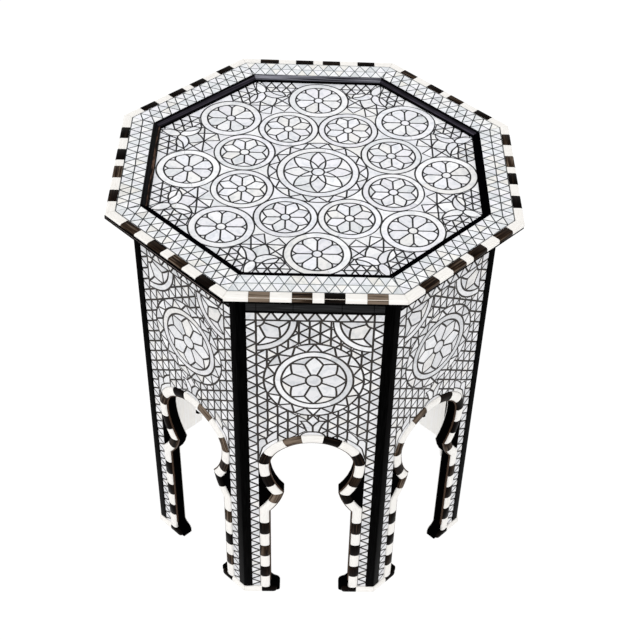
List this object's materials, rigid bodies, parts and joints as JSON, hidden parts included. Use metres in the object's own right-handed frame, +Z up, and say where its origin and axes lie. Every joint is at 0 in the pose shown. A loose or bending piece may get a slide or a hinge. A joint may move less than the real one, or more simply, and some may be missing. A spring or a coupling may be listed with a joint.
{
  "type": "octagonal inlaid side table",
  "caption": "Octagonal side table or stool with a sunken tray top, horseshoe arches between its legs, and mother-of-pearl mosaic with banded edges.",
  "frame": {"origin": "on the floor, under the middle of the top", "axes": "+Z up; -Y is square to side 1, which faces the viewer; +X to the viewer's right"},
  "size_m": [0.4398, 0.4398, 0.5119],
  "materials": {
    "black_lacquer": "gloss black lacquer",
    "mother_of_pearl": "polished mother-of-pearl pieces in dark grey joints",
    "bone_and_wood": "polished bone and dark wood blocks in turn",
    "bare_wood": "unfinished, dull"
  },
  "bodies": {
    "root": {"top_board": "black_lacquer", "border_frame": "mother_of_pearl", "tray_mosaic": "mother_of_pearl", "top_frame": "bare_wood", "side_panel_1": "black_lacquer", "side_panel_2": "black_lacquer", "side_panel_3": "black_lacquer", "side_panel_4": "black_lacquer", "side_panel_5": "black_lacquer", "side_panel_6": "black_lacquer", "side_panel_7": "black_lacquer", "side_panel_8": "black_lacquer", "panel_mosaic_1": "mother_of_pearl", "panel_mosaic_2": "mother_of_pearl", "panel_mosaic_3": "mother_of_pearl", "panel_mosaic_4": "mother_of_pearl", "panel_mosaic_5": "mother_of_pearl", "panel_mosaic_6": "mother_of_pearl", "panel_mosaic_7": "mother_of_pearl", "panel_mosaic_8": "mother_of_pearl", "arch_band_1": "bone_and_wood", "arch_band_2": "bone_and_wood", "arch_band_3": "bone_and_wood", "arch_band_4": "bone_and_wood", "arch_band_5": "bone_and_wood", "arch_band_6": "bone_and_wood", "arch_band_7": "bone_and_wood", "arch_band_8": "bone_and_wood", "rim_band_1": "bone_and_wood", "rim_band_2": "bone_and_wood", "rim_band_3": "bone_and_wood", "rim_band_4": "bone_and_wood", "rim_band_5": "bone_and_wood", "rim_band_6": "bone_and_wood", "rim_band_7": "bone_and_wood", "rim_band_8": "bone_and_wood", "tray_moulding_1": "black_lacquer", "tray_moulding_2": "black_lacquer", "tray_moulding_3": "black_lacquer", "tray_moulding_4": "black_lacquer", "tray_moulding_5": "black_lacquer", "tray_moulding_6": "black_lacquer", "tray_moulding_7": "black_lacquer", "tray_moulding_8": "black_lacquer", "corner_post_1": "black_lacquer", "corner_post_2": "black_lacquer", "corner_post_3": "black_lacquer", "corner_post_4": "black_lacquer", "corner_post_5": "black_lacquer", "corner_post_6": "black_lacquer", "corner_post_7": "black_lacquer", "corner_post_8": "black_lacquer", "foot_band_1": "bone_and_wood", "foot_band_2": "bone_and_wood", "foot_band_3": "bone_and_wood", "foot_band_4": "bone_and_wood", "foot_band_5": "bone_and_wood", "foot_band_6": "bone_and_wood", "foot_band_7": "bone_and_wood", "foot_band_8": "bone_and_wood"}
  },
  "joints": []
}
